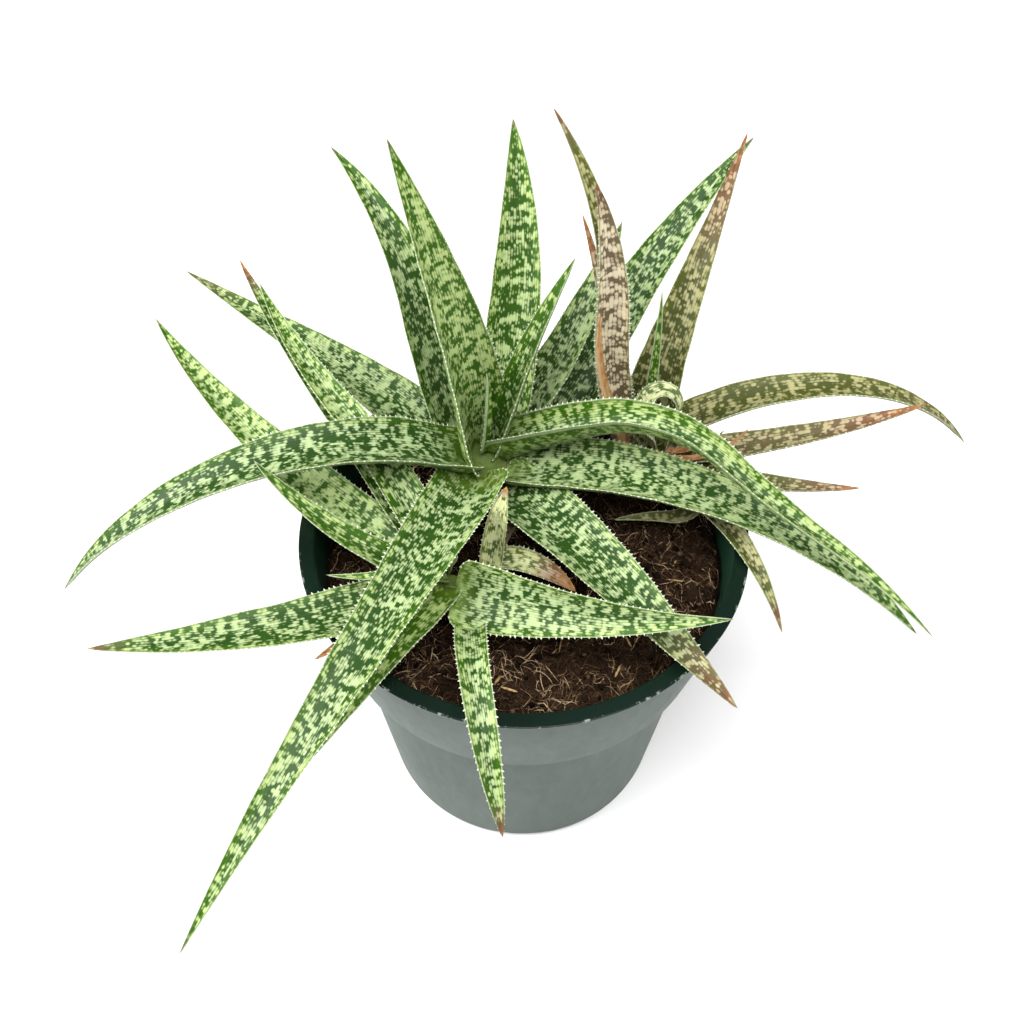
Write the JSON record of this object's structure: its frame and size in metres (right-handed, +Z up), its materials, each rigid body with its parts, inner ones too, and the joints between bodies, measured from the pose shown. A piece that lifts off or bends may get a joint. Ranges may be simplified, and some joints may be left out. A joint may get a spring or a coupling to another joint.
{
  "type": "potted white beauty aloe",
  "caption": "Potted white beauty aloe: long toothed green leaves with dense pale spots, in clustered rosettes, in a round dark plastic nursery pot filled with fibrous mix.",
  "frame": {"origin": "centre of the pot's underside", "axes": "+Z up along the pot's axis, -Y towards the front that the picture was taken from"},
  "size_m": [0.3217, 0.2572, 0.2531],
  "materials": {
    "pot_plastic": "satin moulded plastic",
    "potting_mix": "matt brown coir fibre",
    "stem": "dry leaf sheaths, matt",
    "leaf_green": "waxy leaf, pale spots on green",
    "leaf_olive": "waxy leaf, pinkish spots on olive",
    "leaf_pale": "thin young leaf, pale, drying at the tip",
    "leaf_dry": "dead leaf, matt orange brown"
  },
  "bodies": {
    "root": {"pot": "pot_plastic", "soil": "potting_mix", "main_stem": "stem", "main_heart_leaf": "leaf_green", "main_inner_leaf": "leaf_green", "main_tall_leaf": "leaf_green", "main_arching_leaf": "leaf_green", "main_long_left_leaf": "leaf_green", "main_front_leaf": "leaf_green", "main_broad_right_leaf": "leaf_green", "main_back_leaf": "leaf_green", "main_back_left_leaf": "leaf_green", "main_left_leaf": "leaf_green", "main_short_right_leaf": "leaf_green", "main_back_right_leaf": "leaf_green", "main_back_short_leaf": "leaf_green", "front_stem": "stem", "front_upper_left_leaf": "leaf_green", "front_right_leaf": "leaf_green", "front_low_left_leaf": "leaf_green", "front_over_rim_leaf": "leaf_green", "front_level_left_leaf": "leaf_green", "front_broad_left_leaf": "leaf_green", "front_back_left_leaf": "leaf_green", "front_dry_tipped_leaf": "leaf_green", "front_small_leaf": "leaf_green", "front_dry_leaf": "leaf_dry", "rear_stem": "stem", "rear_tall_leaf": "leaf_olive", "rear_tall_inner_leaf": "leaf_olive", "rear_upright_leaf": "leaf_olive", "rear_bright_leaf": "leaf_green", "rear_curled_leaf": "leaf_pale", "rear_back_right_leaf": "leaf_olive", "rear_right_leaf": "leaf_olive", "rear_level_right_leaf": "leaf_olive", "rear_low_right_leaf": "leaf_olive", "rear_front_right_leaf": "leaf_olive", "rear_low_front_leaf": "leaf_olive", "rear_dry_strip_leaf": "leaf_dry", "rear_dry_upper_leaf": "leaf_dry", "rear_dry_lower_leaf": "leaf_dry", "pup_stem": "stem", "pup_heart_leaf": "leaf_pale", "pup_side_leaf": "leaf_pale", "pup_sheath_leaf": "leaf_pale"}
  },
  "joints": []
}
